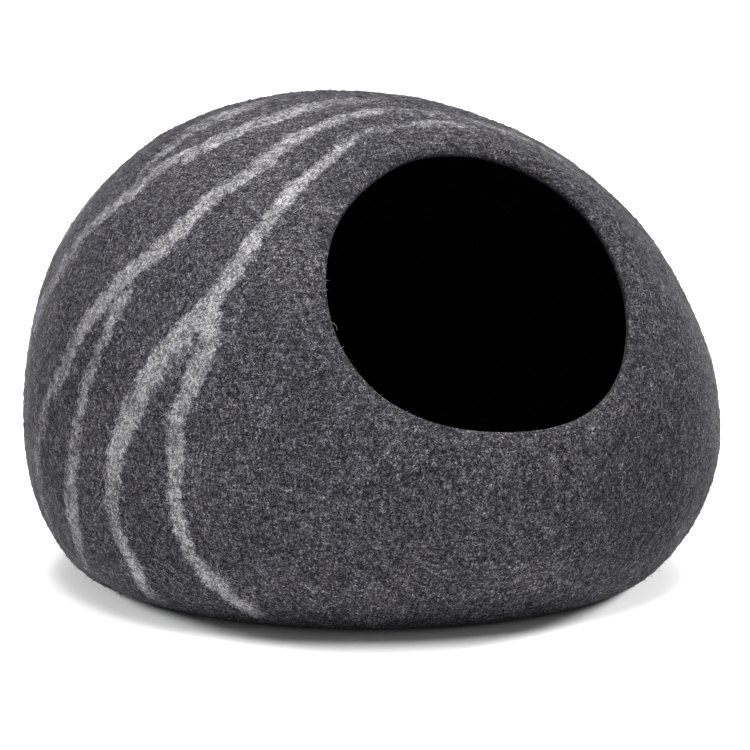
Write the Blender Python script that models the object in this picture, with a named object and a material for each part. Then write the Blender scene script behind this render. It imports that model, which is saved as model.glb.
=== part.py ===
"""Felt cat cave: one seamless hollow shell of thick wool felt with a round mouth in its sloping front.

Metres, +Z up. The cave stands on z = 0 with its footprint centred over the origin, and its mouth
faces -Y. Profile rows from the front round to the back give the dome's outline, and a smooth wave
joins them all the way round. The skin is a net whose rings start at the cut edge of the mouth and
close on the flat spot under the dome. Its points are worked out from the heart, a point inside the
dome on the crown's upright axis. A Solidify modifier gives the skin its wall, and a Bevel rounds
the cut edge.
"""

from collections import namedtuple

import bmesh
import bpy
import numpy as np

# ---- driving sizes, in metres ----
HEIGHT = 0.320
WALL = 0.007
RIM_ROUND = 0.0024

# One row for each facing, from the front to the back.
# radius: from the crown's axis to the widest point. widest_at: the height of that point.
# shoulder, turn_under: fullness above and below it, where 2 is an ellipse and more is fuller.
# foot: radius of the flat spot.
Row = namedtuple("Row", "facing radius widest_at shoulder turn_under foot")
OUTLINE = (
    Row("front", 0.2533, 0.0953, 2.111, 1.630, 0.2015),
    Row("front side", 0.2515, 0.0895, 1.980, 1.660, 0.1930),
    Row("side", 0.2300, 0.0978, 2.026, 1.832, 0.1703),
    Row("back side", 0.2147, 0.1092, 2.202, 2.016, 0.1646),
    Row("back", 0.2176, 0.1139, 2.300, 2.044, 0.1652),
)
SLOPE_TURN = np.radians(18.6)  # the outline's front is turned this far from the mouth, towards +X

HEART_HEIGHT = 0.070
MOUTH_RISE = np.radians(34.8)  # how far the mouth's axis points up from level
# reach: from the mouth's axis to its cut edge, square to the axis.
Edge = namedtuple("Edge", "towards reach")
MOUTH = (
    Edge("right", 0.1048),
    Edge("upper right", 0.1130),
    Edge("top", 0.1051),
    Edge("upper left", 0.0975),
    Edge("left", 0.1000),
    Edge("lower left", 0.1011),
    Edge("bottom", 0.0949),
    Edge("lower right", 0.1026),
)

# ---- fineness of the net ----
SPOKES = 60
RINGS = 32
WALK_STEPS = 240
HALVINGS = 40
ROUNDING_STEPS = 2
CUT_EDGE_ANGLE = np.radians(50.0)  # only the mouth's two cut edges are sharper than this
TINY_ANGLE = 1e-9
FLOOR_SNAP = 1e-6

FELT_COLOR = (0.075, 0.077, 0.083, 1.0)
FELT_ROUGHNESS = 0.95


def clear_scene():
    for obj in list(bpy.data.objects):
        bpy.data.objects.remove(obj, do_unlink=True)


def round_wave(values, angle):
    """Smooth closed wave through values set at equal steps round a full turn."""
    count = len(values)
    total = 0.0
    for step, value in enumerate(values):
        half = (angle - 2 * np.pi * step / count) / 2
        half = np.where(np.abs(np.sin(half)) < TINY_ANGLE, TINY_ANGLE, half)
        total = total + value * np.sin(count * half) / (count * np.tan(half))
    return total


def outline_column(name, facing):
    """One column of OUTLINE at any facing: 0 is the mouth's side, and it grows towards +X."""
    there = [getattr(row, name) for row in OUTLINE]
    return round_wave(there + there[-2:0:-1], facing - SLOPE_TURN)


def skin_profile(facing, climb):
    """Distance from the crown's axis and height of the skin. Climb is 0 at the foot, 1 at the crown."""
    swing = (2 * climb - 1) * np.pi / 2
    above = swing >= 0
    fullness = np.where(above, outline_column("shoulder", facing), outline_column("turn_under", facing))
    out = np.clip(np.cos(swing), 0, 1) ** (2 / fullness)
    up = np.abs(np.sin(swing)) ** (2 / fullness)
    radius = outline_column("radius", facing)
    widest_at = outline_column("widest_at", facing)
    foot = outline_column("foot", facing)
    distance = np.where(above, radius * out, foot + (radius - foot) * out)
    height = np.where(above, widest_at + (HEIGHT - widest_at) * up, widest_at * (1 - up))
    return distance, height


def skin_reach(directions):
    """How far the skin, or the flat spot, is from the heart along each direction."""
    facing = np.arctan2(directions[..., 0], -directions[..., 1])
    rise = np.arctan2(directions[..., 2], np.hypot(directions[..., 0], directions[..., 1]))
    low = np.zeros_like(rise)
    high = np.ones_like(rise)
    for _ in range(HALVINGS):
        middle = (low + high) / 2
        distance, height = skin_profile(facing, middle)
        too_high = np.arctan2(height - HEART_HEIGHT, distance) > rise
        high = np.where(too_high, middle, high)
        low = np.where(too_high, low, middle)
    distance, height = skin_profile(facing, low)
    reach = np.hypot(distance, height - HEART_HEIGHT)
    foot_rise = np.arctan2(-HEART_HEIGHT, outline_column("foot", facing))
    to_floor = HEART_HEIGHT / np.maximum(-np.sin(rise), TINY_ANGLE)
    return np.where(rise < foot_rise, to_floor, reach)


def directions_round_mouth(compass, opening):
    """Unit directions at an opening angle from the mouth's axis. Compass is 0 at +X, and turns up."""
    axis = np.array([0.0, -np.cos(MOUTH_RISE), np.sin(MOUTH_RISE)])
    side = np.array([1.0, 0.0, 0.0])
    up = np.array([0.0, np.sin(MOUTH_RISE), np.cos(MOUTH_RISE)])
    across = np.cos(compass)[..., None] * side + np.sin(compass)[..., None] * up
    return np.cos(opening)[..., None] * axis + np.sin(opening)[..., None] * across


def mouth_opening(compass):
    """Opening angle of the cut edge, where the skin is the mouth's reach away from its axis."""
    wanted = round_wave([edge.reach for edge in MOUTH], compass)
    low = np.zeros_like(compass)
    high = np.full_like(compass, np.pi / 2)
    for _ in range(HALVINGS):
        middle = (low + high) / 2
        reach = skin_reach(directions_round_mouth(compass, middle)) * np.sin(middle)
        high = np.where(reach > wanted, middle, high)
        low = np.where(reach > wanted, low, middle)
    return middle


def skin_points(compass, opening):
    directions = directions_round_mouth(compass, opening)
    points = directions * skin_reach(directions)[..., None]
    points[..., 2] += HEART_HEIGHT
    points[..., 2] = np.where(points[..., 2] < FLOOR_SNAP, 0.0, points[..., 2])
    return points


def skin_net():
    """Points of the skin, ring by ring, in even steps from the cut edge to the middle of the floor."""
    compass = 2 * np.pi * np.arange(SPOKES) / SPOKES
    shares = np.linspace(0, 1, WALK_STEPS)[:, None]
    start = mouth_opening(compass)
    openings = start + (np.pi - start) * shares
    walk = skin_points(np.broadcast_to(compass, openings.shape), openings)
    strides = np.linalg.norm(np.diff(walk, axis=0), axis=2)
    walked = np.vstack([np.zeros(SPOKES), np.cumsum(strides, axis=0)])
    rings = np.empty((RINGS, SPOKES))
    for spoke in range(SPOKES):
        stops = walked[-1, spoke] * np.arange(RINGS) / RINGS
        rings[:, spoke] = np.interp(stops, walked[:, spoke], openings[:, spoke])
    net = skin_points(np.broadcast_to(compass, rings.shape), rings)
    middle = (net.min(axis=(0, 1)) + net.max(axis=(0, 1))) / 2
    return net - [middle[0], middle[1], 0.0]


def skin_mesh(name):
    """The open skin: a band of faces between each two rings, and one flat face under the dome."""
    bm = bmesh.new()
    rings = [[bm.verts.new(point) for point in ring] for ring in skin_net()]
    for outer, inner in zip(rings, rings[1:]):
        for spoke in range(SPOKES):
            after = (spoke + 1) % SPOKES
            bm.faces.new((outer[spoke], outer[after], inner[after], inner[spoke]))
    bm.faces.new(rings[-1])
    bmesh.ops.recalc_face_normals(bm, faces=bm.faces)
    if min(bm.faces, key=lambda face: face.calc_center_median().z).normal.z > 0:
        bmesh.ops.reverse_faces(bm, faces=bm.faces)
    mesh = bpy.data.meshes.new(name)
    bm.to_mesh(mesh)
    bm.free()
    mesh.shade_smooth()
    return mesh


def felt_material():
    material = bpy.data.materials.new("wool_felt")
    material.use_nodes = True
    shader = material.node_tree.nodes["Principled BSDF"]
    shader.inputs["Base Color"].default_value = FELT_COLOR
    shader.inputs["Roughness"].default_value = FELT_ROUGHNESS
    shader.inputs["Metallic"].default_value = 0.0
    return material


def add_wall(shell):
    wall = shell.modifiers.new("wall", "SOLIDIFY")
    wall.thickness = WALL
    wall.offset = -1.0
    wall.use_even_offset = True


def round_cut_edge(shell):
    rounding = shell.modifiers.new("cut_edge", "BEVEL")
    rounding.limit_method = "ANGLE"
    rounding.angle_limit = CUT_EDGE_ANGLE
    rounding.width = RIM_ROUND
    rounding.segments = ROUNDING_STEPS


def felt_shell():
    shell = bpy.data.objects.new("felt_shell", skin_mesh("felt_shell"))
    shell.data.materials.append(felt_material())
    bpy.context.collection.objects.link(shell)
    add_wall(shell)
    round_cut_edge(shell)


clear_scene()
felt_shell()
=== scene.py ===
"""Looks of the felt cat cave: its thick wool felt with pale streaks, the light, the floor and the camera."""

from collections import namedtuple

import bpy
import numpy as np
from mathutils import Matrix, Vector


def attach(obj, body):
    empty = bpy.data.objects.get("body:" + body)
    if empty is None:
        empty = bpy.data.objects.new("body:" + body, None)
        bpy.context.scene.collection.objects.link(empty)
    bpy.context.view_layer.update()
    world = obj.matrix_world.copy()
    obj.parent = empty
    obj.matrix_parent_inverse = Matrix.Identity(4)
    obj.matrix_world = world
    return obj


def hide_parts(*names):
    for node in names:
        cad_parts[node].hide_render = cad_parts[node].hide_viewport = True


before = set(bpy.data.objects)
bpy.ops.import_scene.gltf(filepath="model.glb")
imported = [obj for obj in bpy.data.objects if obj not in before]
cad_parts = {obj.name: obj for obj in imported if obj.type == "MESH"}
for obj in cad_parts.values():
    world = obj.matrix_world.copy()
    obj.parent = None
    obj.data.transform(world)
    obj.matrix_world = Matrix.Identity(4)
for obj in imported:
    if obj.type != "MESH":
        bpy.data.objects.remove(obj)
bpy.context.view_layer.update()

# ---- the shell's form: the outline and functions of the part's source, on a finer net ----
# The mouth's reaches differ from the source's by a few millimetres, because the lip then rolls inwards.
HEIGHT = 0.320
WALL = 0.007
EDGE_ROUND = 0.0034
EDGE_FULLNESS = 0.8  # 1 rounds the cut edge to an ellipse, and less squares it a little
LIP_WIDTH = 0.018  # the skin rolls inwards over this far round the mouth
LIP_DROP = 0.005

# The outline was fitted to the photo, together with the camera.
Row = namedtuple("Row", "facing radius widest_at shoulder turn_under foot")
OUTLINE = (
    Row("front", 0.2533, 0.0953, 2.111, 1.630, 0.2015),
    Row("front side", 0.2515, 0.0895, 1.980, 1.660, 0.1930),
    Row("side", 0.2300, 0.0978, 2.026, 1.832, 0.1703),
    Row("back side", 0.2147, 0.1092, 2.202, 2.016, 0.1646),
    Row("back", 0.2176, 0.1139, 2.300, 2.044, 0.1652),
)
SLOPE_TURN = np.radians(18.6)

HEART_HEIGHT = 0.070
MOUTH_RISE = np.radians(34.8)
Edge = namedtuple("Edge", "towards reach")
MOUTH = (
    Edge("right", 0.1080),
    Edge("upper right", 0.1190),
    Edge("top", 0.1084),
    Edge("upper left", 0.0977),
    Edge("left", 0.0990),
    Edge("lower left", 0.0997),
    Edge("bottom", 0.0939),
    Edge("lower right", 0.1030),
)

SPOKES = 360
RINGS = 190
CLOSER = 0.55  # how close rings lie beside the mouth, as a share of their even spacing
INNER_STEP = 3  # the unseen inner side takes every third ring
EDGE_RINGS = 9  # round the cut edge
WALK_STEPS = 200
HALVINGS = 30
TINY_ANGLE = 1e-9
FLOOR_SNAP = 1e-6

# ---- hand-felted unevenness: smooth waves over the skin ----
Wave = namedtuple("Wave", "longest shortest height count")
UNEVENNESS = (
    Wave(0.160, 0.070, 0.00045, 14),
    Wave(0.040, 0.018, 0.00012, 30),
)
UNEVEN_SEED = 11
SETTLED_HEIGHT = 0.020  # below this the swells fade out, so that the flat spot stays flat

# ---- pale streaks ----
# compass: degrees round the mouth, 0 at the right, 90 at the top. out: millimetres along the skin from
# the cut edge. width: millimetres. strength: how much of the wool there is pale.
# The places that show were read off the photo. A scratch script carried them onto the shell through the
# camera, and they were then rounded and adjusted by hand. The rest are guessed.
Spot = namedtuple("Spot", "compass out width strength")
STREAKS = {
    "inner": (
        Spot(60, 32, 4, 0.0),
        Spot(75, 33, 14, 0.55),
        Spot(87, 30, 12, 0.5),
        Spot(98, 33, 10, 0.45),
        Spot(103, 36, 11, 0.6),
        Spot(112, 36, 10, 0.75),
        Spot(120, 34, 11, 0.8),
        Spot(134, 37, 12, 0.8),
        Spot(142, 40, 12, 0.8),
        Spot(150, 46, 11, 0.8),
        Spot(156, 51, 11, 0.9),
        Spot(163, 59, 13, 1.0),
        Spot(171, 74, 14, 1.0),
        Spot(177, 76, 13, 1.0),
        Spot(182, 86, 15, 0.9),
        Spot(188, 104, 15, 0.9),
        Spot(194, 120, 13, 0.9),
        Spot(202, 142, 12, 0.8),
        Spot(208, 158, 12, 0.8),
        Spot(214, 166, 15, 0.9),
        Spot(221, 172, 17, 0.9),
        Spot(227, 178, 14, 0.6),
        Spot(231, 187, 10, 0.0),
    ),
    "fork": (
        Spot(166, 66, 6, 0.0),
        Spot(171, 84, 12, 0.8),
        Spot(174, 97, 16, 0.9),
        Spot(183, 135, 18, 0.9),
        Spot(188, 160, 17, 0.9),
        Spot(193, 180, 17, 0.9),
        Spot(197, 196, 15, 0.8),
        Spot(203, 211, 16, 0.9),
        Spot(210, 232, 18, 0.6),
        Spot(214, 243, 12, 0.0),
    ),
    "web": (
        Spot(168, 74, 6, 0.0),
        Spot(172, 81, 12, 0.75),
        Spot(177, 93, 17, 0.65),
        Spot(181, 103, 14, 0.45),
        Spot(185, 112, 8, 0.0),
    ),
    "middle": (
        Spot(22, 48, 4, 0.0),
        Spot(42, 47, 16, 0.4),
        Spot(58, 47, 18, 0.45),
        Spot(77, 47, 17, 0.45),
        Spot(85, 53, 17, 0.5),
        Spot(93, 61, 18, 0.55),
        Spot(101, 65, 18, 0.7),
        Spot(109, 68, 17, 0.75),
        Spot(121, 70, 16, 0.75),
        Spot(133, 78, 15, 0.8),
        Spot(143, 94, 14, 0.8),
        Spot(152, 113, 13, 0.9),
        Spot(157, 134, 19, 0.9),
        Spot(162, 165, 17, 0.9),
        Spot(166, 188, 17, 0.7),
        Spot(170, 211, 18, 0.65),
        Spot(174, 246, 17, 0.5),
        Spot(179, 279, 20, 0.45),
        Spot(186, 320, 18, 0.4),
        Spot(193, 360, 14, 0.0),
    ),
    "middle branch": (
        Spot(159, 128, 9, 0.0),
        Spot(162, 139, 14, 0.8),
        Spot(167, 152, 12, 0.7),
        Spot(174, 175, 13, 0.7),
        Spot(179, 192, 14, 0.6),
        Spot(184, 211, 20, 0.6),
        Spot(188, 231, 22, 0.75),
        Spot(193, 258, 18, 0.8),
        Spot(197, 275, 18, 0.4),
        Spot(200, 290, 12, 0.0),
    ),
    "outer": (
        Spot(76, 87, 4, 0.0),
        Spot(90, 89, 18, 0.4),
        Spot(97, 98, 19, 0.5),
        Spot(103, 104, 19, 0.65),
        Spot(112, 110, 19, 0.7),
        Spot(121, 122, 18, 0.65),
        Spot(128, 139, 19, 0.7),
        Spot(133, 157, 19, 0.65),
        Spot(138, 172, 18, 0.65),
        Spot(144, 210, 22, 0.6),
        Spot(148, 234, 26, 0.6),
        Spot(151, 262, 24, 0.5),
        Spot(160, 320, 20, 0.4),
        Spot(170, 375, 14, 0.0),
    ),
    "outer branch": (
        Spot(98, 148, 5, 0.0),
        Spot(108, 151, 26, 0.55),
        Spot(116, 157, 24, 0.6),
        Spot(123, 164, 21, 0.55),
        Spot(129, 169, 17, 0.5),
        Spot(136, 172, 6, 0.0),
    ),
    "far crest": (
        Spot(100, 232, 5, 0.0),
        Spot(116, 234, 18, 0.5),
        Spot(127, 245, 18, 0.6),
        Spot(138, 262, 16, 0.5),
        Spot(150, 325, 14, 0.5),
        Spot(160, 380, 9, 0.0),
    ),
    "right vein": (
        Spot(-3, 72, 8, 0.0),
        Spot(-8, 80, 11, 0.5),
        Spot(-14, 98, 13, 0.55),
        Spot(-20, 119, 10, 0.0),
    ),
}

STEEPEST = 8.0  # a streak's slope counts as no more than this
FAR_ASIDE = 9.0  # half widths from a streak's middle line, for what lies clear of it
STREAK_RUFFLES = (45.0, 2.0, 0.55)  # scale, detail and roughness of the noise that ruffles the streaks
RUFFLED_EDGE = 1.4  # the whole span by which that shifts a streak's edge, in half widths
RUFFLED_TONE = 1.2  # the same for its tone, as a power of e
RUFFLED_COVER = 0.4  # how much of that reaches the cover of pale wool
STREAK_FADE = (0.3, 1.6)  # half widths from the middle line over which a streak fades out
COVER_RANGE = (0.15, 1.0)  # strengths at which pale wool starts to show and covers the dark
COVER_START = (0.02, 0.25)  # strengths below which the ruffles alone make no streak
STREAK_CALM = 0.1  # how much of the fibre pattern is smoothed out of the pale wool
STREAK_BRIGHTEST = 1.15  # the fibre pattern's brightest tone there

# ---- wool ----
DARK_WOOL = 0.046
PALE_WOOL = 0.205
DARK_TINT = (1.03, 1.0, 1.14)
NEUTRAL_TINT = (1.03, 1.0, 1.09)  # of the dark wool's less blue stretches
PALE_TINT = (1.015, 1.0, 1.03)
NEUTRAL_DRIFTS = (0.42, 0.56)  # levels of the drifts' noise between the two
# Painted light: the lowest felt is paler, up to this many times at the floor, to bring it to the photo's
# brightness.
BASE_PAINTED_LIGHT_HEIGHT = 0.055
BASE_PAINTED_LIGHT = 1.9
# Painted light and shade: broad patches, made paler or darker for the same reason: middle and size in
# metres, and the tone there.
Patch = namedtuple("Patch", "x y z size tone")
PAINTED_SHADING_PATCHES = (
    Patch(-0.226, 0.000, 0.160, 0.075, 0.67),
    Patch(0.070, -0.192, 0.038, 0.070, 0.71),
    Patch(0.147, -0.110, 0.229, 0.055, 0.90),
    Patch(-0.104, -0.191, 0.020, 0.060, 1.22),
    Patch(-0.190, -0.100, 0.180, 0.050, 1.05),
)
# Painted shade: the inner side is made nearly black, and the cut edge darkens into it, in place of the shade
# inside the cave.
INNER_PAINTED_SHADE = 0.05  # of the unseen inner side
INNER_SHADE_FADE = (0.2, 0.75)  # shares of the cut edge's rounding over which the tone falls to it
CURL_SCALE = 260.0
CURL_WANDER = 0.001
# Fibre patterns: scale of the noise, how strongly the pale and the dark ones mark the tone, as a power of e,
# and the offsets that keep one pattern's noise clear of another's. The first values came from a fit to the
# fineness of the photo's pattern, and were then changed.
Fibres = namedtuple("Fibres", "scale pale dark offset")
LONG_FIBRES = Fibres(300.0, 0.75, 0.75, 0.0)
SHORT_FIBRES = Fibres(800.0, 0.3, 1.1, 3.1)
KNOTS = Fibres(450.0, 0.2, 0.7, 1.3)
STRAIGHT_FIBRES = Fibres(800.0, 0.65, 0.8, 0.7)
DARK_OFFSET = 5.2
# Widths of the lines, as levels of their noise, and where another noise breaks the long ones up.
LONG_LINE = 0.09
LONG_BREAKS = (0.40, 0.55)
SHORT_LINE = 0.11
KNOT_LINE = 0.15
STRAIGHT_LINE = (0.10, 0.24)
DRAWN_OUT = 7.0  # how many times longer than wide a straight fibre is
# the directions that straight fibres lie along, so that some lie in the skin on every side
LAID_ALONG = (
    (1, 0, 0), (0, 1, 0), (0, 0, 1), (1, 1, 0), (1, -1, 0), (1, 0, 1), (-1, 0, 1), (0, 1, 1), (0, -1, 1),
)
# Broader swells of the tone.
Swell = namedtuple("Swell", "scale detail roughness strength")
TUFTS = Swell(160.0, 3.0, 0.6, 1.3)
CLOUDS = Swell(45.0, 2.0, 0.5, 0.5)
DRIFTS = Swell(14.0, 2.0, 0.5, 0.9)
FELT_ROUGHNESS = (1.0, 0.85)  # where the wool is darkest and where it is palest
WOOL_SPECULAR = 0.03
SHEEN = 0.12
SHEEN_ROUGHNESS = 0.16
BUMP_STRENGTH = 0.2
BUMP_HEIGHT = 0.0006

# ---- loose fibres: thin curly locks that lie over the felt, stand off it and cross the mouth's edge ----
# Lengths, thickness and rise in metres. curl: radians a step. pale: the palest one's tone.
Locks = namedtuple("Locks", "name count shortest longest thickness rise curl pale")
LOCKS = (
    Locks("lying_fibres", 6200, 0.004, 0.010, 0.00034, 0.0006, 0.50, 0.18),
    Locks("lying_fibres_2", 6100, 0.003, 0.007, 0.00032, 0.0006, 0.60, 0.21),
    Locks("standing_fibres", 4000, 0.0025, 0.0060, 0.00018, 0.0022, 0.45, 0.10),
    Locks("mouth_fibres", 1500, 0.0020, 0.0050, 0.00014, 0.0008, 0.60, 0.07),
)
LOCK_STEPS = 5
LOCK_SIDES = 3
LOCK_ROOT = 0.0004  # how deep a lock starts in the felt
LOCK_LOWEST = 0.006
LOCK_SEED = 5
MOUTH_BAND = LIP_WIDTH / 3  # the locks of the mouth's edge start within this of it
MOUTH_SPREAD = 1.5  # radians to either side of straight into the mouth
RISES = (0.4, 1.4)  # shares of the kind's own rise
WOOL_TONES = (0.3, 1.0)  # shares of the palest tone, before they are squared
STREAK_TONES = (0.7, 1.2)  # shares of the pale wool's tone, on a streak
LOCK_TIP = 0.35  # the share of a lock's thickness that the taper leaves alone
LOCK_TAPER = (0.12, 0.76)  # start and length of the part of a half wave that the taper follows
SLANT = (0.31, -0.52, 0.79)  # a direction that few locks run along, to turn their sides from
# A lock's place in its cell of the baking grid: its sides' corner and size, and its two end caps.
SIDES_CORNER = (0.02, 0.1)
SIDES_SIZE = (0.8, 0.8)
CAP_CORNERS = (
    ((0.86, 0.1), (0.86, 0.4), (0.96, 0.1)),
    ((0.86, 0.5), (0.86, 0.8), (0.96, 0.5)),
)
CELL_SHAPE = 3  # rows for each column
FIBRE_LEVELS = (0.3, 0.7)  # levels of the noise along a lock
FIBRE_TONES = (0.6, 1.3)  # tones there

# ---- light ----
# turn: degrees from straight behind the shell towards the picture's right. rise: degrees above level.
# softness: the light's width in degrees.
# reach: "all", "shell" for a fill that lights the shell alone, or "floor" for a low light that lights the
# floor alone and clears the shadow's ends.
# The first three began as a fit to the photo's brightness, and were then changed.
Lamp = namedtuple("Lamp", "name turn rise softness strength reach")
LAMPS = (
    Lamp("overhead", 0, 90, 40, 6.0, "all"),
    Lamp("back_left", -36, 45, 60, 0.9, "all"),
    Lamp("back_right", 40, 62, 30, 1.2, "all"),
    Lamp("front_left", -165, 50, 60, 2.6, "shell"),
    Lamp("floor_right", 42, 12, 12, 13.0, "floor"),
    Lamp("floor_left", -52, 14, 14, 7.0, "floor"),
)
SURROUND = 0.27
FLOOR_WHITE = 0.74
FLOOR_ROUGHNESS = 0.9
FLOOR_SPECULAR = 0.1
FLOOR_REACH = 30.0
FLOOR_GAP = 0.0002  # keeps the floor clear of the flat spot

# fitted to the photo together with the outline
CAMERA_PLACE = Vector((-0.8695, -1.8395, 0.4410))
CAMERA_AIM = Vector((0.42394, 0.89307, -0.15069))
CAMERA_LENS = 147.3
CAMERA_SENSOR = 36.0


def round_wave(values, angle):
    """Smooth closed wave through values set at equal steps round a full turn."""
    count = len(values)
    total = 0.0
    for step, value in enumerate(values):
        half = (angle - 2 * np.pi * step / count) / 2
        half = np.where(np.abs(np.sin(half)) < TINY_ANGLE, TINY_ANGLE, half)
        total = total + value * np.sin(count * half) / (count * np.tan(half))
    return total


def outline_column(name, facing):
    """One column of OUTLINE at any facing: 0 is the mouth's side, and it grows towards +X."""
    there = [getattr(row, name) for row in OUTLINE]
    return round_wave(there + there[-2:0:-1], facing - SLOPE_TURN)


def skin_profiles(facing):
    """The five outline columns at each facing."""
    return {name: outline_column(name, facing) for name in Row._fields[1:]}


def skin_profile(columns, climb):
    """Distance from the crown's axis and height of the skin. Climb is 0 at the foot, 1 at the crown."""
    swing = (2 * climb - 1) * np.pi / 2
    above = swing >= 0
    fullness = np.where(above, columns["shoulder"], columns["turn_under"])
    out = np.clip(np.cos(swing), 0, 1) ** (2 / fullness)
    up = np.abs(np.sin(swing)) ** (2 / fullness)
    radius, widest_at, foot = columns["radius"], columns["widest_at"], columns["foot"]
    distance = np.where(above, radius * out, foot + (radius - foot) * out)
    height = np.where(above, widest_at + (HEIGHT - widest_at) * up, widest_at * (1 - up))
    return distance, height


def skin_reach(directions):
    """How far the skin, or the flat spot, is from the heart along each direction."""
    facing = np.arctan2(directions[..., 0], -directions[..., 1])
    rise = np.arctan2(directions[..., 2], np.hypot(directions[..., 0], directions[..., 1]))
    columns = skin_profiles(facing)
    low = np.zeros_like(rise)
    high = np.ones_like(rise)
    for _ in range(HALVINGS):
        middle = (low + high) / 2
        distance, height = skin_profile(columns, middle)
        too_high = np.arctan2(height - HEART_HEIGHT, distance) > rise
        high = np.where(too_high, middle, high)
        low = np.where(too_high, low, middle)
    distance, height = skin_profile(columns, low)
    reach = np.hypot(distance, height - HEART_HEIGHT)
    foot_rise = np.arctan2(-HEART_HEIGHT, columns["foot"])
    to_floor = HEART_HEIGHT / np.maximum(-np.sin(rise), TINY_ANGLE)
    return np.where(rise < foot_rise, to_floor, reach)


def directions_round_mouth(compass, opening):
    """Unit directions at an opening angle from the mouth's axis. Compass is 0 at +X, and turns up."""
    axis = np.array([0.0, -np.cos(MOUTH_RISE), np.sin(MOUTH_RISE)])
    side = np.array([1.0, 0.0, 0.0])
    up = np.array([0.0, np.sin(MOUTH_RISE), np.cos(MOUTH_RISE)])
    across = np.cos(compass)[..., None] * side + np.sin(compass)[..., None] * up
    return np.cos(opening)[..., None] * axis + np.sin(opening)[..., None] * across


def mouth_opening(compass):
    """Opening angle of the cut edge, where the skin is the mouth's reach away from its axis."""
    wanted = round_wave([edge.reach for edge in MOUTH], compass)
    low = np.zeros_like(compass)
    high = np.full_like(compass, np.pi / 2)
    for _ in range(HALVINGS):
        middle = (low + high) / 2
        reach = skin_reach(directions_round_mouth(compass, middle)) * np.sin(middle)
        high = np.where(reach > wanted, middle, high)
        low = np.where(reach > wanted, low, middle)
    return middle


def skin_points(compass, opening):
    directions = directions_round_mouth(compass, opening)
    points = directions * skin_reach(directions)[..., None]
    points[..., 2] += HEART_HEIGHT
    points[..., 2] = np.where(points[..., 2] < FLOOR_SNAP, 0.0, points[..., 2])
    return points


def skin_net():
    """Points of the skin, ring by ring from beside the cut edge to the floor, and how far out each is."""
    compass = 2 * np.pi * np.arange(SPOKES) / SPOKES
    shares = np.linspace(0, 1, WALK_STEPS)[:, None]
    start = mouth_opening(compass)
    openings = start + (np.pi - start) * shares
    walk = skin_points(np.broadcast_to(compass, openings.shape), openings)
    strides = np.linalg.norm(np.diff(walk, axis=0), axis=2)
    walked = np.vstack([np.zeros(SPOKES), np.cumsum(strides, axis=0)])
    even = np.arange(RINGS) / RINGS
    places = even * (CLOSER + (1 - CLOSER) * even)
    rings = np.empty((RINGS, SPOKES))
    out = np.empty((RINGS, SPOKES))
    for spoke in range(SPOKES):
        whole = walked[-1, spoke]
        out[:, spoke] = EDGE_ROUND + (whole - EDGE_ROUND) * places
        rings[:, spoke] = np.interp(out[:, spoke], walked[:, spoke], openings[:, spoke])
    net = skin_points(np.broadcast_to(compass, rings.shape), rings)
    middle = (walk.min(axis=(0, 1)) + walk.max(axis=(0, 1))) / 2
    return net - [middle[0], middle[1], 0.0], out


def net_normals(net):
    """Unit normals that point out of the dome."""
    around = np.roll(net, -1, axis=1) - np.roll(net, 1, axis=1)
    along = np.gradient(net, axis=0)
    normals = np.cross(along, around)
    normals /= np.linalg.norm(normals, axis=2, keepdims=True)
    return normals


def unevenness(points):
    """Height of the smooth swells that felting by hand leaves, at each point."""
    chance = np.random.default_rng(UNEVEN_SEED)
    height = np.zeros(points.shape[:-1])
    for wave in UNEVENNESS:
        for _ in range(wave.count):
            heading = chance.normal(size=3)
            heading /= np.linalg.norm(heading)
            length = chance.uniform(wave.shortest, wave.longest)
            phase = chance.uniform(0, 2 * np.pi)
            swell = np.sin(points @ heading * (2 * np.pi / length) + phase)
            height += wave.height * np.sqrt(2 / wave.count) * swell
    settled = np.clip(points[..., 2] / SETTLED_HEIGHT, 0, 1)
    return height * settled * settled * (3 - 2 * settled)


def smooth_through(places, values, at):
    """Cubic curve through the values, with each slope taken from its two neighbours."""
    places, values = np.array(places, float), np.array(values, float)
    slopes = np.gradient(values, places)
    at = np.clip(at, places[0], places[-1])
    step = np.clip(np.searchsorted(places, at, side="right") - 1, 0, len(places) - 2)
    span = places[step + 1] - places[step]
    share = (at - places[step]) / span
    return (
        values[step] * (1 + 2 * share) * (1 - share) ** 2
        + values[step + 1] * share**2 * (3 - 2 * share)
        + slopes[step] * span * share * (1 - share) ** 2
        - slopes[step + 1] * span * share**2 * (1 - share)
    )


def painted_shading_tone(points):
    """How much the broad patches of painted light and shade make the wool paler or darker."""
    tone = np.ones(len(points))
    for painted_shading in PAINTED_SHADING_PATCHES:
        distance = np.linalg.norm(points - (painted_shading.x, painted_shading.y, painted_shading.z), axis=1)
        tone *= 1 + (painted_shading.tone - 1) * np.exp(-((distance / painted_shading.size) ** 2))
    return tone


def streak_field(spots, net, out):
    """How many half widths each point lies from the streak's middle line, and the strength there."""
    degrees = np.degrees(2 * np.pi * np.arange(SPOKES) / SPOKES)
    first, last = spots[0].compass, spots[-1].compass
    degrees = first + (degrees - first) % 360
    places = [spot.compass for spot in spots]
    line = smooth_through(places, [spot.out / 1000 for spot in spots], degrees)
    half = smooth_through(places, [spot.width / 2000 for spot in spots], degrees)
    strength = smooth_through(places, [spot.strength for spot in spots], degrees)
    strength = np.where(degrees > last, 0.0, np.clip(strength, 0, 1))
    sideways = np.linalg.norm(np.roll(net, -1, axis=1) - net, axis=2) + TINY_ANGLE
    slope = (np.roll(line, -1) - line)[None, :] / sideways
    slope = np.where(np.abs(slope) > STEEPEST, STEEPEST, slope)
    across = (out - line) / (half * np.sqrt(1 + slope**2))
    return np.clip(across, -FAR_ASIDE, FAR_ASIDE), np.broadcast_to(strength, out.shape)


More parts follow.
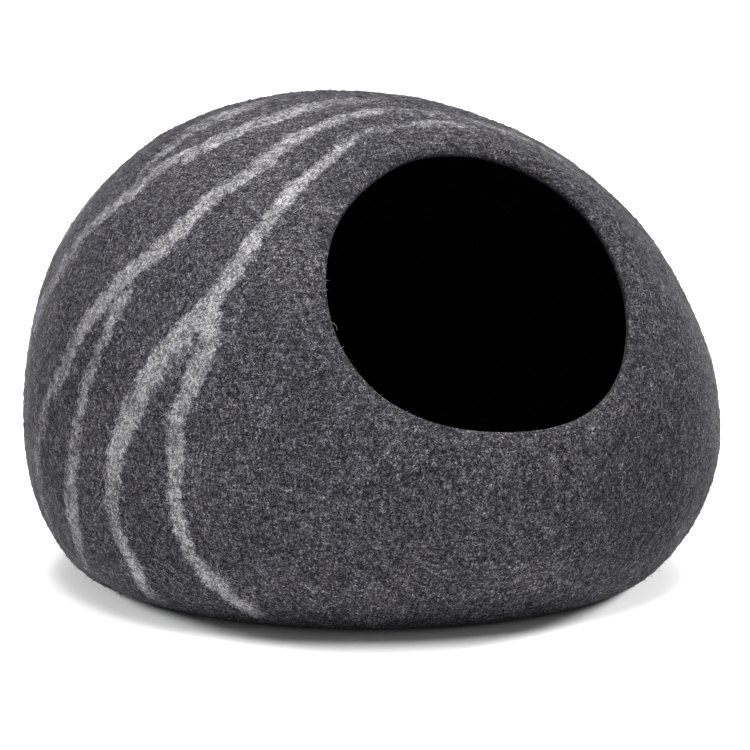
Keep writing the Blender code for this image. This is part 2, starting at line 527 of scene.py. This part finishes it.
def felted_skin():
    """The outer skin with its hand-felted swells and its rolled lip, and how far out each point is."""
    net, out = skin_net()
    rolled = LIP_DROP * np.clip(1 - out / LIP_WIDTH, 0, 1) ** 2
    return net + net_normals(net) * (unevenness(net) - rolled)[..., None], out


def shell_mesh(net, out):
    """The closed shell: the outer skin, the rounded cut edge and the inner side, ring after ring."""
    normals = net_normals(net)
    inner = net[::INNER_STEP] - normals[::INNER_STEP] * WALL
    back = net[0] - net[1]
    towards_mouth = back - (back * normals[0]).sum(axis=1, keepdims=True) * normals[0]
    towards_mouth /= np.linalg.norm(towards_mouth, axis=1, keepdims=True)
    middle = net[0] - normals[0] * WALL / 2
    turns = np.pi * np.arange(1, EDGE_RINGS + 1) / (EDGE_RINGS + 1)
    edge = []
    for turn in turns:
        outward = np.sign(np.cos(turn)) * abs(np.cos(turn)) ** EDGE_FULLNESS * WALL / 2
        forward = np.sin(turn) ** EDGE_FULLNESS * EDGE_ROUND
        edge.append(middle + outward * normals[0] + forward * towards_mouth)
    rings = np.concatenate([net[::-1], np.array(edge), inner])
    ring_count = len(rings)
    points = rings.reshape(-1, 3)
    under = net[-1].mean(axis=0)
    floor_top = inner[-1].mean(axis=0)
    points = np.vstack([points, under, floor_top])
    spoke = np.arange(SPOKES)
    after = (spoke + 1) % SPOKES
    faces = []
    for ring in range(ring_count - 1):
        here, there = ring * SPOKES, (ring + 1) * SPOKES
        faces.append(np.stack([here + spoke, here + after, there + after, there + spoke], axis=1))
    quads = np.concatenate(faces)
    last = (ring_count - 1) * SPOKES
    first_cap = np.stack([after, spoke, np.full(SPOKES, len(points) - 2)], axis=1)
    last_cap = np.stack([last + spoke, last + after, np.full(SPOKES, len(points) - 1)], axis=1)
    mesh = bpy.data.meshes.new("felt")
    mesh.from_pydata(points.tolist(), [], quads.tolist() + first_cap.tolist() + last_cap.tolist())
    mesh.shade_smooth()

    # Painted shade: how far each point lies towards the inner side, which is darkened nearly to black.
    inside = np.concatenate([np.zeros(RINGS), turns / np.pi, np.ones(len(inner))])
    inside = np.append(np.repeat(inside, SPOKES), [0.0, 1.0])
    mesh.attributes.new("inside", "FLOAT", "POINT").data.foreach_set("value", inside)
    # Painted light and shade: the broad patches.
    mesh.attributes.new("painted_shading", "FLOAT", "POINT").data.foreach_set("value", painted_shading_tone(points))
    for number, spots in enumerate(STREAKS.values()):
        across, strength = streak_field(spots, net, out)
        field = np.zeros((len(points), 3))
        field[:, 0] = FAR_ASIDE
        count = RINGS * SPOKES
        field[:count, 0] = across[::-1].ravel()
        field[:count, 1] = strength[::-1].ravel()
        for turn in range(EDGE_RINGS):
            place = slice(count + turn * SPOKES, count + (turn + 1) * SPOKES)
            field[place, 0] = across[0]
        layer = mesh.attributes.new(f"streak_{number}", "FLOAT_VECTOR", "POINT")
        layer.data.foreach_set("vector", field.ravel())
    return mesh


def on_net(values, ring, spoke):
    """The net's values at places between its rings and spokes, run straight on past the first ring."""
    near = np.clip(np.floor(ring).astype(int), 0, RINGS - 2)
    left = np.floor(spoke).astype(int)
    share = (spoke - left)[..., None]
    left, right = left % SPOKES, (left + 1) % SPOKES
    inner = values[near, left] * (1 - share) + values[near, right] * share
    outer = values[near + 1, left] * (1 - share) + values[near + 1, right] * share
    part = (ring - near)[..., None]
    return inner * (1 - part) + outer * part


def lock_roots(locks, net, out, chance):
    """Ring and spoke places where the locks start, even over the skin or close round the mouth."""
    along = np.linalg.norm(np.diff(net, axis=0), axis=2)
    around = np.linalg.norm(np.roll(net, -1, axis=1) - net, axis=2)[:-1]
    weight = along * around * (net[:-1, :, 2] > LOCK_LOWEST)
    if locks.name == "mouth_fibres":
        weight = around * (out[:-1] < MOUTH_BAND)
    cells = chance.choice(weight.size, size=locks.count, p=(weight / weight.sum()).ravel())
    ring, spoke = np.divmod(cells, SPOKES)
    return ring + chance.random(locks.count), spoke + chance.random(locks.count)


def pale_share(ring, spoke, net, out):
    """How much of the wool is pale at each place, from the streaks."""
    share = np.zeros(len(ring))
    for spots in STREAKS.values():
        across, strength = streak_field(spots, net, out)
        aside = np.abs(on_net(across[..., None], np.maximum(ring, 0), spoke)[:, 0])
        there = on_net(strength[..., None], np.maximum(ring, 0), spoke)[:, 0]
        share = np.maximum(share, there * (aside < 1))
    return share


def lock_paths(locks, net, out):
    """The middle line of each lock, step by step, and the tone of its wool."""
    chance = np.random.default_rng([LOCK_SEED, locks.count])
    normals = net_normals(net)
    along = np.linalg.norm(np.diff(net, axis=0), axis=2)
    along = np.vstack([along, along[-1:]])[..., None]
    around = np.linalg.norm(np.roll(net, -1, axis=1) - net, axis=2)[..., None]
    ring, spoke = lock_roots(locks, net, out, chance)
    stride = chance.uniform(locks.shortest, locks.longest, locks.count) / LOCK_STEPS
    heading = chance.uniform(0, 2 * np.pi, locks.count)
    if locks.name == "mouth_fibres":
        heading = np.pi + chance.uniform(-MOUTH_SPREAD, MOUTH_SPREAD, locks.count)
    bend = chance.normal(0, locks.curl, locks.count)
    rise = locks.rise * chance.uniform(*RISES, locks.count)
    wool = locks.pale * chance.uniform(*WOOL_TONES, locks.count) ** 2
    on_streak = pale_share(ring, spoke, net, out) * PALE_WOOL
    wool = np.maximum(wool, on_streak * chance.uniform(*STREAK_TONES, locks.count))
    lying = locks.name.startswith("lying")
    path = []
    for step in range(LOCK_STEPS + 1):
        share = step / LOCK_STEPS
        lift = np.sin(np.pi * share) if lying else share
        height = -LOCK_ROOT * (1 - share) + rise * lift
        path.append(on_net(net, ring, spoke) + on_net(normals, ring, spoke) * height[:, None])
        ring = ring + np.cos(heading) * stride / on_net(along, np.maximum(ring, 0), spoke)[:, 0]
        spoke = spoke + np.sin(heading) * stride / on_net(around, np.maximum(ring, 0), spoke)[:, 0]
        ring = np.minimum(ring, RINGS - 2.0)
        heading = heading + bend + chance.normal(0, locks.curl / 2, locks.count)
    return np.array(path), wool


def lock_tubes(path, thickness):
    """Points round each lock's middle line, thin at both ends, lock after lock."""
    forward = np.gradient(path, axis=0)
    forward /= np.linalg.norm(forward, axis=2, keepdims=True) + TINY_ANGLE
    aside = np.cross(forward, SLANT)
    aside /= np.linalg.norm(aside, axis=2, keepdims=True) + TINY_ANGLE
    over = np.cross(forward, aside)
    start, length = LOCK_TAPER
    wave = np.sin(np.pi * (start + length * np.arange(LOCK_STEPS + 1) / LOCK_STEPS))
    taper = LOCK_TIP + (1 - LOCK_TIP) * wave
    radius = (thickness / 2 * taper)[:, None, None]
    tubes = []
    for side in range(LOCK_SIDES):
        turn = 2 * np.pi * side / LOCK_SIDES
        tubes.append(path + radius * (np.cos(turn) * aside + np.sin(turn) * over))
    return np.array(tubes).transpose(2, 1, 0, 3).reshape(-1, 3)


def lock_faces(count, size):
    """The quads of every lock's sides and the triangles of its ends. Size is the points in a lock."""
    quads = []
    for step in range(LOCK_STEPS):
        for side in range(LOCK_SIDES):
            here, there = step * LOCK_SIDES, (step + 1) * LOCK_SIDES
            after = (side + 1) % LOCK_SIDES
            quads.append((here + side, here + after, there + after, there + side))
    firsts = (np.arange(count) * size)[:, None, None]
    sides = (firsts + np.array(quads)).reshape(-1, 4)
    caps = (firsts + np.array([(2, 1, 0), (size - 3, size - 2, size - 1)])).reshape(-1, 3)
    return sides.tolist() + caps.tolist()


def lock_places(count):
    """Places on the baking grid: each lock's sides fill one cell, and its two ends an edge of the cell."""
    columns = int(np.ceil(np.sqrt(count / CELL_SHAPE)))
    rows = int(np.ceil(count / columns))
    cell = np.stack(np.divmod(np.arange(count), rows), axis=1)[:, None, None]
    corners = []
    for step in range(LOCK_STEPS):
        for side in range(LOCK_SIDES):
            corners.append(((step, side), (step, side + 1), (step + 1, side + 1), (step + 1, side)))
    side_places = np.array(corners) / (LOCK_STEPS, LOCK_SIDES) * SIDES_SIZE + SIDES_CORNER
    cap_places = np.array(CAP_CORNERS)
    spread = [
        ((cell + places) / (columns, rows)).reshape(-1, 2) for places in (side_places, cap_places)
    ]
    return np.vstack(spread)


def locks_mesh(locks, net, out):
    """All locks of one kind as one mesh of thin closed tubes that taper to both ends."""
    path, wool = lock_paths(locks, net, out)
    points = lock_tubes(path, locks.thickness)
    size = (LOCK_STEPS + 1) * LOCK_SIDES
    mesh = bpy.data.meshes.new(locks.name)
    mesh.from_pydata(points.tolist(), [], lock_faces(locks.count, size))
    mesh.shade_smooth()
    mesh.attributes.new("wool", "FLOAT", "POINT").data.foreach_set("value", np.repeat(wool, size))
    layer = mesh.uv_layers.new(name="OFBake")
    layer.data.foreach_set("uv", lock_places(locks.count).ravel())
    return mesh


class Nodes:
    """Short ways to add and join shader nodes."""

    def __init__(self, tree):
        self.tree = tree

    def add(self, kind, **settings):
        node = self.tree.nodes.new(kind)
        for name, value in settings.items():
            setattr(node, name, value)
        return node

    def feed(self, socket, value):
        if isinstance(value, bpy.types.NodeSocket):
            self.tree.links.new(value, socket)
        else:
            socket.default_value = value

    def math(self, operation, *values):
        node = self.add("ShaderNodeMath", operation=operation)
        for socket, value in zip(node.inputs, values):
            self.feed(socket, value)
        return node.outputs[0]

    def vector(self, operation, *values):
        node = self.add("ShaderNodeVectorMath", operation=operation)
        for socket, value in zip(node.inputs, values):
            self.feed(socket, value)
        return node.outputs[0]

    def noise(self, place, scale, detail, roughness=0.5):
        node = self.add("ShaderNodeTexNoise")
        self.feed(node.inputs["Vector"], place)
        self.feed(node.inputs["Scale"], scale)
        self.feed(node.inputs["Detail"], detail)
        self.feed(node.inputs["Roughness"], roughness)
        return node

    def ramp(self, value, low, high, from_value=0.0, to_value=1.0):
        node = self.add("ShaderNodeMapRange", interpolation_type="SMOOTHSTEP")
        self.feed(node.inputs["Value"], value)
        self.feed(node.inputs["From Min"], low)
        self.feed(node.inputs["From Max"], high)
        self.feed(node.inputs["To Min"], from_value)
        self.feed(node.inputs["To Max"], to_value)
        return node.outputs["Result"]

    def mix(self, share, one, other):
        node = self.add("ShaderNodeMix", data_type="FLOAT")
        self.feed(node.inputs[0], share)
        self.feed(node.inputs[2], one)
        self.feed(node.inputs[3], other)
        return node.outputs[0]


def moved(n, place, offset):
    """The place shifted aside, so that two uses of one noise don't match."""
    return n.vector("ADD", place, (offset, 2 * offset, -offset))


def long_fibres(n, place, offset):
    """Three sets of long curly lines, each broken up by the next one's noise."""
    grain = n.add("ShaderNodeSeparateColor")
    n.feed(grain.inputs[0], n.noise(moved(n, place, offset), LONG_FIBRES.scale, 1.0).outputs["Color"])
    red, green, blue = grain.outputs[:3]
    total = 0.0
    for level, mask in ((red, green), (green, blue), (blue, red)):
        off_line = n.math("PINGPONG", n.math("MULTIPLY", level, 2.0), 0.5)
        line = n.math("MULTIPLY", n.ramp(off_line, 0.0, LONG_LINE, 1.0, 0.0), n.ramp(mask, *LONG_BREAKS))
        total = n.math("MAXIMUM", total, line)
    return total


def short_fibres(n, place, offset):
    """Short curly lines along the middle level of a fine noise."""
    grain = n.noise(moved(n, place, offset), SHORT_FIBRES.scale, 1.0).outputs["Fac"]
    return n.ramp(n.math("ABSOLUTE", n.math("SUBTRACT", grain, 0.5)), 0.0, SHORT_LINE, 1.0, 0.0)


def knots(n, place, offset):
    """Short straight bits that cross, as where fibres lock into each other."""
    cells = n.add("ShaderNodeTexVoronoi", feature="DISTANCE_TO_EDGE")
    n.feed(cells.inputs["Vector"], moved(n, place, offset))
    cells.inputs["Scale"].default_value = KNOTS.scale
    return n.ramp(cells.outputs["Distance"], 0.0, KNOT_LINE, 1.0, 0.0)


def straight_fibres(n, place):
    """Pale and dark fibres that cross, the dark ones partly painted shade in the gaps between fibres: noise
    drawn out along each direction that lies in the skin.
    """
    out_of_skin = n.add("ShaderNodeTexCoord").outputs["Normal"]
    palest, darkest = 0.0, 0.0
    for number, direction in enumerate(LAID_ALONG):
        direction = Vector(direction).normalized()
        turn = n.add("ShaderNodeMapping", vector_type="TEXTURE")
        n.feed(turn.inputs["Vector"], moved(n, place, STRAIGHT_FIBRES.offset * number))
        turn.inputs["Rotation"].default_value = direction.to_track_quat("X", "Z").to_euler()
        turn.inputs["Scale"].default_value = (DRAWN_OUT, 1.0, 1.0)
        grain = n.noise(turn.outputs[0], STRAIGHT_FIBRES.scale, 0.0).outputs["Fac"]
        facing = n.add("ShaderNodeVectorMath", operation="DOT_PRODUCT")
        n.feed(facing.inputs[0], out_of_skin)
        facing.inputs[1].default_value = direction
        laid = n.math("SUBTRACT", 1.0, n.math("POWER", facing.outputs["Value"], 2.0))
        grain = n.math("MULTIPLY", n.math("SUBTRACT", grain, 0.5), laid)
        palest = n.math("MAXIMUM", palest, grain)
        darkest = n.math("MINIMUM", darkest, grain)
    low, high = STRAIGHT_LINE
    pale_ones = n.math("MULTIPLY", n.ramp(palest, low, high), STRAIGHT_FIBRES.pale)
    dark_ones = n.math("MULTIPLY", n.ramp(darkest, -high, -low, 1.0, 0.0), STRAIGHT_FIBRES.dark)
    return n.math("SUBTRACT", pale_ones, dark_ones)


def fibre_patterns(n, place):
    """All fibres together: each pattern is laid twice, for the pale ones and for the dark ones, which are
    partly dark fibres and partly painted shade in the gaps between them.
    """
    warp = n.noise(place, CURL_SCALE, 1.0).outputs["Color"]
    curl = n.add("ShaderNodeVectorMath", operation="SCALE")
    n.feed(curl.inputs[0], n.vector("SUBTRACT", warp, (0.5, 0.5, 0.5)))
    curl.inputs["Scale"].default_value = CURL_WANDER
    curled = n.vector("ADD", place, curl.outputs[0])
    lift = straight_fibres(n, curled)
    for pattern, fibres in ((long_fibres, LONG_FIBRES), (short_fibres, SHORT_FIBRES), (knots, KNOTS)):
        pale_ones = n.math("MULTIPLY", pattern(n, curled, fibres.offset), fibres.pale)
        # The dark lines are partly dark fibres and partly painted shade in the gaps between fibres.
        dark_ones = n.math("MULTIPLY", pattern(n, curled, fibres.offset + DARK_OFFSET), fibres.dark)
        lift = n.math("ADD", lift, n.math("SUBTRACT", pale_ones, dark_ones))
    return lift


def streak_cover(n, place, tufts):
    """How far pale wool covers the dark, and the streaks' own swells of tone."""
    wander = n.add("ShaderNodeSeparateXYZ")
    n.feed(wander.inputs[0], n.noise(place, *STREAK_RUFFLES).outputs["Color"])
    shift = n.math("MULTIPLY", n.math("SUBTRACT", wander.outputs["X"], 0.5), RUFFLED_EDGE)
    ruffle = n.math("MULTIPLY", n.math("SUBTRACT", wander.outputs["Y"], 0.5), RUFFLED_TONE)
    pale = None
    for number in range(len(STREAKS)):
        layer = n.add("ShaderNodeAttribute", attribute_name=f"streak_{number}")
        parts = n.add("ShaderNodeSeparateXYZ")
        n.feed(parts.inputs[0], layer.outputs["Vector"])
        aside = n.math("ABSOLUTE", n.math("ADD", parts.outputs["X"], shift))
        here = n.math("MULTIPLY", n.ramp(aside, *STREAK_FADE, 1.0, 0.0), parts.outputs["Y"])
        pale = here if pale is None else n.math("MAXIMUM", pale, here)
    speckle = n.math("SUBTRACT", tufts, 0.5)
    cover = n.math("ADD", n.math("ADD", pale, speckle), n.math("MULTIPLY", ruffle, RUFFLED_COVER))
    cover = n.ramp(cover, *COVER_RANGE)
    cover = n.math("MULTIPLY", cover, n.ramp(pale, *COVER_START))
    return cover, ruffle


def felt_material():
    """The shell's wool: dark and heathered, with the pale streaks, whose edges are ragged."""
    material = bpy.data.materials.new("wool_felt")
    material.use_nodes = True
    n = Nodes(material.node_tree)
    shader = material.node_tree.nodes["Principled BSDF"]
    place = n.add("ShaderNodeTexCoord").outputs["Object"]

    lift = fibre_patterns(n, place)
    swells = []
    for swell in (TUFTS, CLOUDS, DRIFTS):
        swells.append(n.noise(place, swell.scale, swell.detail, swell.roughness).outputs["Fac"])
        lift = n.math("ADD", lift, n.math("MULTIPLY", n.math("SUBTRACT", swells[-1], 0.5), swell.strength))
    tufts, drifts = swells[0], swells[-1]
    heather = n.math("POWER", np.e, lift)

    cover, ruffle = streak_cover(n, place, tufts)
    streaked = n.mix(STREAK_CALM, n.math("MINIMUM", heather, STREAK_BRIGHTEST), 1.0)
    streaked = n.math("MULTIPLY", streaked, n.math("POWER", np.e, ruffle))
    tone = n.mix(cover, DARK_WOOL, PALE_WOOL)
    tone = n.math("MULTIPLY", tone, n.mix(cover, heather, streaked))
    # Painted shade: the cut edge and the inner side fall nearly to black.
    inside = n.add("ShaderNodeAttribute", attribute_name="inside").outputs["Fac"]
    tone = n.math("MULTIPLY", tone, n.ramp(inside, *INNER_SHADE_FADE, 1.0, INNER_PAINTED_SHADE))
    # Painted light and shade: the broad patches make the wool paler or darker.
    tone = n.math("MULTIPLY", tone, n.add("ShaderNodeAttribute", attribute_name="painted_shading").outputs["Fac"])
    # Painted light: the lowest felt is made paler towards the floor.
    height = n.add("ShaderNodeSeparateXYZ")
    n.feed(height.inputs[0], place)
    tone = n.math("MULTIPLY", tone, n.ramp(height.outputs["Z"], 0.0, BASE_PAINTED_LIGHT_HEIGHT, BASE_PAINTED_LIGHT, 1.0))

    colour = n.add("ShaderNodeCombineColor")
    neutral = n.ramp(drifts, *NEUTRAL_DRIFTS)
    for socket, blue, grey, light in zip(colour.inputs, DARK_TINT, NEUTRAL_TINT, PALE_TINT):
        n.feed(socket, n.math("MULTIPLY", tone, n.mix(cover, n.mix(neutral, blue, grey), light)))
    n.feed(shader.inputs["Base Color"], colour.outputs[0])
    n.feed(shader.inputs["Roughness"], n.ramp(lift, -1.0, 1.0, *FELT_ROUGHNESS))
    shader.inputs["Specular IOR Level"].default_value = WOOL_SPECULAR
    shader.inputs["Sheen Weight"].default_value = SHEEN
    shader.inputs["Sheen Roughness"].default_value = SHEEN_ROUGHNESS

    bump = n.add("ShaderNodeBump")
    bump.inputs["Strength"].default_value = BUMP_STRENGTH
    bump.inputs["Distance"].default_value = BUMP_HEIGHT
    n.feed(bump.inputs["Height"], lift)
    n.feed(shader.inputs["Normal"], bump.outputs["Normal"])
    return material


def fibre_material():
    material = bpy.data.materials.new("wool_fibres")
    material.use_nodes = True
    n = Nodes(material.node_tree)
    shader = material.node_tree.nodes["Principled BSDF"]
    place = n.add("ShaderNodeTexCoord").outputs["Object"]
    wool = n.add("ShaderNodeAttribute", attribute_name="wool").outputs["Fac"]
    along = n.noise(place, SHORT_FIBRES.scale, 1.0).outputs["Fac"]
    tone = n.math("MULTIPLY", wool, n.ramp(along, *FIBRE_LEVELS, *FIBRE_TONES))
    colour = n.add("ShaderNodeCombineColor")
    for socket, tint in zip(colour.inputs, DARK_TINT):
        n.feed(socket, n.math("MULTIPLY", tone, tint))
    n.feed(shader.inputs["Base Color"], colour.outputs[0])
    n.feed(shader.inputs["Roughness"], n.ramp(along, 0.0, 1.0, *FELT_ROUGHNESS))
    shader.inputs["Specular IOR Level"].default_value = WOOL_SPECULAR
    return material


def loose_fibres(net, out):
    material = fibre_material()
    pieces = []
    for locks in LOCKS:
        piece = bpy.data.objects.new(locks.name, locks_mesh(locks, net, out))
        piece.data.materials.append(material)
        bpy.context.collection.objects.link(piece)
        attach(piece, "root")
        pieces.append(piece)
    return pieces


def felt_shell(net, out):
    shell = bpy.data.objects.new("felt", shell_mesh(net, out))
    shell.data.materials.append(felt_material())
    bpy.context.collection.objects.link(shell)
    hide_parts("felt_shell")
    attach(shell, "root")
    return shell


def white_floor():
    corners = []
    for x, y in ((-1, -1), (1, -1), (1, 1), (-1, 1)):
        corners.append((x * FLOOR_REACH, y * FLOOR_REACH, -FLOOR_GAP))
    mesh = bpy.data.meshes.new("floor")
    mesh.from_pydata(corners, [], [(0, 1, 2, 3)])
    floor = bpy.data.objects.new("floor", mesh)
    paint = bpy.data.materials.new("floor_white")
    paint.use_nodes = True
    shader = paint.node_tree.nodes["Principled BSDF"]
    shader.inputs["Base Color"].default_value = (FLOOR_WHITE, FLOOR_WHITE, FLOOR_WHITE, 1.0)
    shader.inputs["Roughness"].default_value = FLOOR_ROUGHNESS
    shader.inputs["Specular IOR Level"].default_value = FLOOR_SPECULAR
    mesh.materials.append(paint)
    bpy.context.collection.objects.link(floor)
    return floor


def even_surround():
    world = bpy.data.worlds.new("surround")
    world.use_nodes = True
    background = world.node_tree.nodes["Background"]
    background.inputs["Color"].default_value = (1.0, 1.0, 1.0, 1.0)
    background.inputs["Strength"].default_value = SURROUND
    bpy.context.scene.world = world


def soft_lights(cave, floor):
    """The lamps, each linked to what it reaches. Cave is every piece of the visual model."""
    behind = Vector((CAMERA_AIM.x, CAMERA_AIM.y, 0.0)).normalized()
    right = Vector((behind.y, -behind.x, 0.0))
    reached = {"floor": [floor], "shell": cave}
    groups = {}
    for reach, pieces in reached.items():
        groups[reach] = bpy.data.collections.new(f"{reach}_only")
        for piece in pieces:
            groups[reach].objects.link(piece)
    for lamp in LAMPS:
        turn, rise = np.radians(lamp.turn), np.radians(lamp.rise)
        level = behind * np.cos(turn) + right * np.sin(turn)
        light = bpy.data.lights.new(lamp.name, "SUN")
        light.energy = lamp.strength
        light.angle = np.radians(lamp.softness)
        holder = bpy.data.objects.new(lamp.name, light)
        holder.rotation_mode = "QUATERNION"
        if lamp.reach in groups:
            holder.light_linking.receiver_collection = groups[lamp.reach]
        source = level * np.cos(rise) + Vector((0.0, 0.0, np.sin(rise)))
        holder.rotation_quaternion = source.to_track_quat("Z", "Y")
        bpy.context.collection.objects.link(holder)


def studio(cave):
    """A wide white floor, an even surround and the soft lights."""
    bpy.context.scene.view_settings.view_transform = "Standard"
    floor = white_floor()
    even_surround()
    soft_lights(cave, floor)


def photo_camera():
    lens = bpy.data.cameras.new("camera")
    lens.sensor_width = CAMERA_SENSOR
    lens.lens = CAMERA_LENS
    camera = bpy.data.objects.new("camera", lens)
    camera.location = CAMERA_PLACE
    camera.rotation_mode = "QUATERNION"
    camera.rotation_quaternion = CAMERA_AIM.to_track_quat("-Z", "Y")
    bpy.context.collection.objects.link(camera)
    bpy.context.scene.camera = camera


photo_camera()
skin, skin_out = felted_skin()
studio([felt_shell(skin, skin_out), *loose_fibres(skin, skin_out)])
